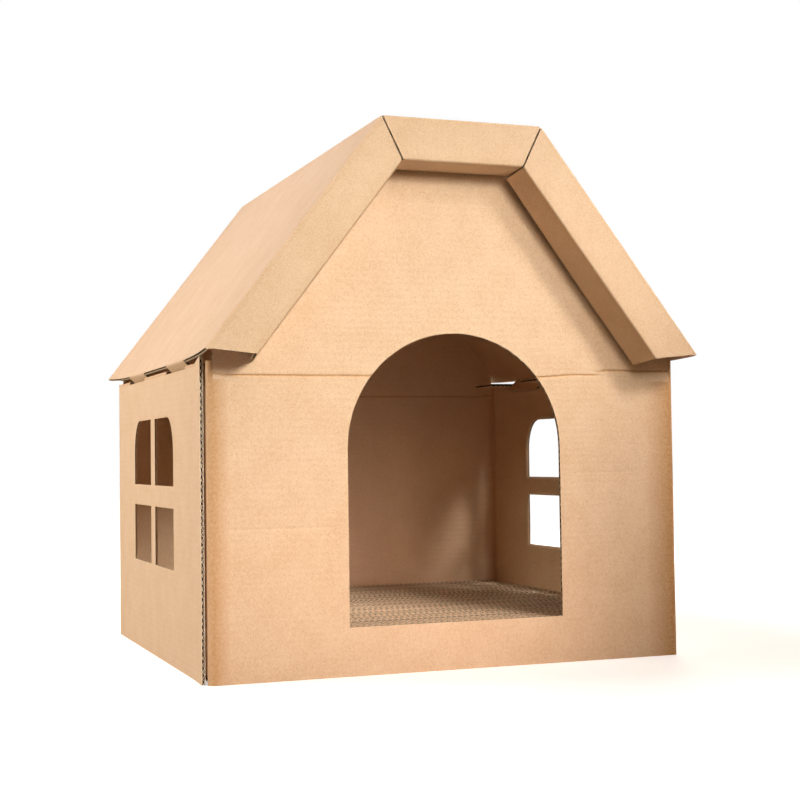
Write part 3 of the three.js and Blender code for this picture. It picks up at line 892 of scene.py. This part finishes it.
slope_length = math.hypot(EAVE_AT[0] - RIDGE_HALF, ROOF_TOP - EAVE_AT[1])
down_slope = Vector((math.cos(slope_angle), -math.sin(slope_angle)))
off_slope = Vector((math.sin(slope_angle), math.cos(slope_angle)))
face_end = EAVE_FRONT - CREASE_REACH

top_sheet = flat_stock("roof_top_sheet", evenly(-face_end, face_end, LONGEST_CELL),
                       evenly(CREASE_REACH - RIDGE_HALF, RIDGE_HALF - CREASE_REACH, LONGEST_CELL))
fold_up(top_sheet, lambda u, v, w: (v, -u, ROOF_TOP + w),
        lambda u, v: ROOF_CRUSH * max(0.0, 1 - (RIDGE_HALF - abs(v)) / CRUSH_REACH,
                                      1 - (EAVE_FRONT - abs(u)) / CRUSH_REACH))
fit(top_sheet, "roof", ["roof_top"])

tab_tangent = TIGHT_RADIUS * math.tan(TAB_FOLD / 2)
tab_path = fold_path((-RIDGE_HALF, ROOF_TOP), (-down_slope.x, down_slope.y), [
    (slope_length - tab_tangent, TAB_FOLD, TIGHT_RADIUS),
    (TAB_DEPTH - tab_tangent, 0, 0),
])
tab_tip = tab_path[-1]["end"]
for side, name in ((-1, "left"), (1, "right")):
    rows = [CREASE_REACH] + [stop for stop in stops_along(tab_path) if stop > CREASE_REACH + FIRST_ROW]
    columns = evenly(-face_end, face_end, LONGEST_CELL / 2)
    for tab in (-TAB_MIDDLE, TAB_MIDDLE):
        columns += [tab - TAB_HALF - BESIDE_TAB, tab + TAB_HALF + BESIDE_TAB]
    slope = flat_stock(name + "_slope_sheet", sorted(columns), rows)
    past = tab_tip + BOARD
    notches = [
        box_outline(-EAVE_FRONT, slope_length, -TAB_MIDDLE - TAB_HALF, past),
        box_outline(TAB_HALF - TAB_MIDDLE, slope_length, TAB_MIDDLE - TAB_HALF, past),
        box_outline(TAB_MIDDLE + TAB_HALF, slope_length, EAVE_FRONT, past),
    ]
    die_cut(slope, notches)
    slits = []
    for tab in (-TAB_MIDDLE, TAB_MIDDLE):
        for edge in (tab - TAB_HALF, tab + TAB_HALF):
            slits.append(box_outline(edge - TAB_SLIT / 2, slope_length - TAB_SLIT_DEPTH,
                                     edge + TAB_SLIT / 2, past + BOARD))
    die_cut(slope, slits)

    def lay_slope(u, v, w):
        if min(abs(u - TAB_MIDDLE), abs(u + TAB_MIDDLE)) < TAB_HALF:
            across = section_at(tab_path, v, w)
        else:
            across = Vector((-RIDGE_HALF, ROOF_TOP)) + Vector((-down_slope.x, down_slope.y)) * v
            across += Vector((-off_slope.x, off_slope.y)) * w
        sag = EAVE_SAG * (1 - (u / face_end) ** 4) * min(v / slope_length, 1.0) ** 2
        across += Vector((off_slope.x, -off_slope.y)) * sag
        return -side * across.x, -side * u, across.y

    fold_up(slope, lay_slope, lambda u, v: ROOF_CRUSH * max(0.0, 1 - v / CRUSH_REACH,
                                                            1 - (EAVE_FRONT - abs(u)) / CRUSH_REACH))
    fit(slope, name + "_slope", [name + "_slope", name + "_front_tab", name + "_back_tab"])


# The ridge creases: strips of the same sheet, where the press has scored it and it bends
# between the flat top and a slope.
ridge_tangent = TIGHT_RADIUS * math.tan(slope_angle / 2)
ridge_path = fold_path((-RIDGE_HALF + CREASE_REACH, ROOF_TOP), (-1, 0), [
    (CREASE_REACH - ridge_tangent, slope_angle, TIGHT_RADIUS),
    (CREASE_REACH - ridge_tangent, 0, 0),
])
for side, name in ((-1, "left"), (1, "right")):
    ridge = flat_stock(name + "_ridge_crease", evenly(-face_end, face_end, LONGEST_CELL),
                       stops_along(ridge_path))

    def bend_ridge(u, v, w):
        across = section_at(ridge_path, v, w)
        return -side * across.x, -side * u, across.y

    fold_up(ridge, bend_ridge, lambda u, v: ROOF_CRUSH * crush_along(ridge_path, v))
    fit(ridge, "roof", (), name + "_slope")


# The boxed eaves: at both ends of each face the sheet turns down into a fascia and back to the
# gable in a soffit. Their ends are mitred at the ridges, and cut to a slant at the eaves.
FASCIA_DEPTH = 37 * MM
FASCIA_CUT_BACK = 22.82 * MM
SOFFIT_BACK = 203 * MM
MITRE_GAP = 1.2 * MM
CREASE_GAP = 0.3 * MM
RAGGED = 0.5 * MM
SHORTEST_TOOTH = 0.3
SPRUNG_SHARE = 0.7
SPRUNG_CURVE = 1.5
OVERCUT = 1 * MM
DICE_SEED = 5
SPRUNG_OPEN = {"right_front": 12, "top_front": 4, "left_front": 11,
               "right_back": 7, "top_back": 3, "left_back": 8}
STAND_OFF = {"right_front": 3.5 * MM, "top_front": 0.8 * MM, "left_front": 2.5 * MM,
             "right_back": 1.5 * MM, "top_back": 1 * MM, "left_back": 2 * MM}
RIM_CLEARANCE = 2 * MM

dice = random.Random(DICE_SEED)
mitre = math.tan(slope_angle / 2)


def ridge_end(depth, gap):
    return depth * mitre + gap / 2 / math.cos(slope_angle / 2)


def eave_end(depth, is_slope):
    """How far down its face an eave runs, at a depth below the face."""
    if is_slope:
        return slope_length - FASCIA_CUT_BACK * depth / FASCIA_DEPTH
    return 2 * RIDGE_HALF - ridge_end(depth, MITRE_GAP)


fold_path_of_eave = fold_path((CREASE_REACH - EAVE_FRONT, 0), (-1, 0), [
    (CREASE_REACH - TIGHT_RADIUS, math.pi / 2, TIGHT_RADIUS),
    (CREASE_REACH - TIGHT_RADIUS, 0, 0),
])
foot_at = FASCIA_DEPTH - CREASE_REACH - TIGHT_RADIUS + TIGHT_RADIUS * math.pi / 4
crease_turn = fold_path_of_eave[1]["end"]
crease_end = fold_path_of_eave[-1]["end"]
faces = {
    "top": {"corner": Vector((-RIDGE_HALF, 0, ROOF_TOP)), "down": Vector((1, 0, 0)),
            "off": Vector((0, 0, 1)), "body": "roof", "turn": 1},
    "left": {"corner": Vector((-RIDGE_HALF, 0, ROOF_TOP)), "down": Vector((-down_slope.x, 0, down_slope.y)),
             "off": Vector((-off_slope.x, 0, off_slope.y)), "body": "left_slope", "turn": -1},
    "right": {"corner": Vector((RIDGE_HALF, 0, ROOF_TOP)), "down": Vector((down_slope.x, 0, down_slope.y)),
              "off": Vector((off_slope.x, 0, off_slope.y)), "body": "right_slope", "turn": 1},
}
for name, face in faces.items():
    is_slope = name != "top"
    length = slope_length if is_slope else 2 * RIDGE_HALF
    for place, out in (("front", -1), ("back", 1)):
        eave_name = f"{name}_{place}_eave"
        way = face["turn"] * -out

        def hang(path):
            def bend(u, v, w):
                across = section_at(path, u, w)
                spot = face["corner"] + face["down"] * (way * v) + face["off"] * across.y
                return spot.x, -out * across.x, spot.z

            return bend

        def drawn(points):
            return [(u, way * x) for u, x in points]

        eave_path = fold_path((-EAVE_FRONT, -CREASE_REACH), (0, -1), [
            (FASCIA_DEPTH - CREASE_REACH - TIGHT_RADIUS,
             math.radians(90 - SPRUNG_OPEN[f"{name}_{place}"]), TIGHT_RADIUS),
            (EAVE_FRONT - TIGHT_RADIUS - SOFFIT_BACK, 0, 0),
        ])
        soffit_end = eave_path[-1]["end"]
        ends = sorted((0, way * length))
        eave = flat_stock(eave_name + "_board", stops_along(eave_path), evenly(*ends, LONGEST_CELL))
        near_foot, far_foot = ridge_end(FASCIA_DEPTH, MITRE_GAP), eave_end(FASCIA_DEPTH, is_slope)
        inner_edge = []
        near_rim = near_foot + (RIM_CLEARANCE if is_slope else 0)
        for stop in evenly(near_rim, far_foot, FLUTE_PITCH / 4):
            down = (stop - near_foot) / (far_foot - near_foot)
            stand_off = STAND_OFF[f"{name}_{place}"] * (
                max(0.0, 1 - down / SPRUNG_SHARE) ** SPRUNG_CURVE if is_slope else 1)
            tooth = RAGGED * abs(math.sin(math.pi * stop / FLUTE_PITCH)) * dice.uniform(SHORTEST_TOOTH, 1)
            inner_edge.append((soffit_end - stand_off - tooth, stop))
        die_cut(eave, [drawn([
            (-OVERCUT, ridge_end(CREASE_REACH - OVERCUT, MITRE_GAP)),
            (foot_at, near_foot),
            *inner_edge,
            (foot_at, far_foot),
            (-OVERCUT, eave_end(CREASE_REACH - OVERCUT, is_slope)),
        ])], keep=True)
        fold_up(eave, hang(eave_path), lambda u, v: ROOF_CRUSH * crush_along(eave_path, u))
        fit(eave, eave_name, [f"{name}_{place}_fascia", f"{name}_{place}_soffit"])

        crease = flat_stock(eave_name + "_crease", stops_along(fold_path_of_eave),
                            evenly(*ends, LONGEST_CELL))
        near, far = ridge_end(0, CREASE_GAP), length if is_slope else length - ridge_end(0, CREASE_GAP)
        die_cut(crease, [drawn([
            (-OVERCUT, near + BOARD * mitre),
            (crease_turn, near + BOARD * mitre),
            (crease_end + OVERCUT, ridge_end(CREASE_REACH + OVERCUT, MITRE_GAP)),
            (crease_end + OVERCUT, eave_end(CREASE_REACH + OVERCUT, is_slope)),
            (crease_turn, far if is_slope else far - BOARD * mitre),
            (-OVERCUT, far if is_slope else far - BOARD * mitre),
        ])], keep=True)
        fold_up(crease, hang(fold_path_of_eave), lambda u, v: ROOF_CRUSH * crush_along(fold_path_of_eave, u))
        fit(crease, face["body"], (), eave_name)


# The scratching pad lies loose on the floor: strips of single-faced board stood on edge, flutes
# upright, glued up in fourteen bundles inside a band of board.
BAND_RADIUS = 3.2 * MM
BAND_TAIL = 0.05 * MM
BAND_BUTT = 0.2 * MM
BUNDLES = 14
STRIPS_IN_BUNDLE = 7
UNEVEN_TOPS_MM = 0.9
STRIP_STEPS_IN_FLUTE = 6

low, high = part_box("pad_band")
straight_x = high[0] - low[0] - 2 * BAND_RADIUS
straight_y = high[1] - low[1] - 2 * BAND_RADIUS
band_turn = (math.pi / 2, BAND_RADIUS)
band_path = fold_path((-straight_x / 2, low[1]), (1, 0), [
    (straight_x, *band_turn),
    (straight_y, *band_turn),
    (straight_x, *band_turn),
    (straight_y, *band_turn),
    (BAND_TAIL, 0, 0),
])
band_end = band_path[-2]["end"] - BAND_BUTT
rows = [stop for stop in stops_along(band_path) if stop < band_end] + [band_end]
band = flat_stock("pad_band_board", [-high[2], -low[2]], rows)
fold_up(band, lambda u, v, w: (*section_at(band_path, v, w), -u), lambda u, v: crush_along(band_path, v))
fit(band, "scratch_pad", ["pad_band"])

dice = random.Random(DICE_SEED)
for number in range(1, BUNDLES + 1):
    node = f"pad_bundle_{number:02d}"
    low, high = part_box(node)
    pitch = (high[1] - low[1]) / STRIPS_IN_BUNDLE
    wave_height = (pitch - LINER - 2 * GLUE - MEDIUM) / 2
    strips = []
    for strip in range(STRIPS_IN_BUNDLE):
        at = low[1] + strip * pitch
        top = high[2] - dice.uniform(0, UNEVEN_TOPS_MM) * MM
        phase = dice.uniform(0, 2 * math.pi)
        liner = lay_grid(node, evenly(low[0], high[0], LONGEST_CELL), [low[2], top])
        wave = lay_grid(node, evenly(low[0], high[0], FLUTE_PITCH / STRIP_STEPS_IN_FLUTE), [low[2], top])
        for sheet, thickness, paper in ((liner, LINER, kraft_liner), (wave, MEDIUM, fluting_paper_with_shade)):
            sheet.data.materials.append(paper)
            sheet.data.materials.append(cut_paper)
            for point in sheet.data.vertices:
                u, v = point.co.xy
                if sheet is wave:
                    turn = 2 * math.pi * u / FLUTE_PITCH + phase
                    point.co.z = -LINER - GLUE - MEDIUM / 2 - wave_height * (1 + math.cos(turn))
                else:
                    point.co.z = -LINER / 2
            apply_modifier(sheet, "SOLIDIFY", thickness=thickness, offset=0, material_offset_rim=1)
            for point in sheet.data.vertices:
                u, v, w = point.co
                point.co = (u, at - w, v)
            strips.append(sheet)
    bundle = join_pieces(strips)
    bundle.name = node + "_strips"
    fold_up(bundle, lambda u, v, w: (u, v, w))
    fit(bundle, "scratch_pad", [node])
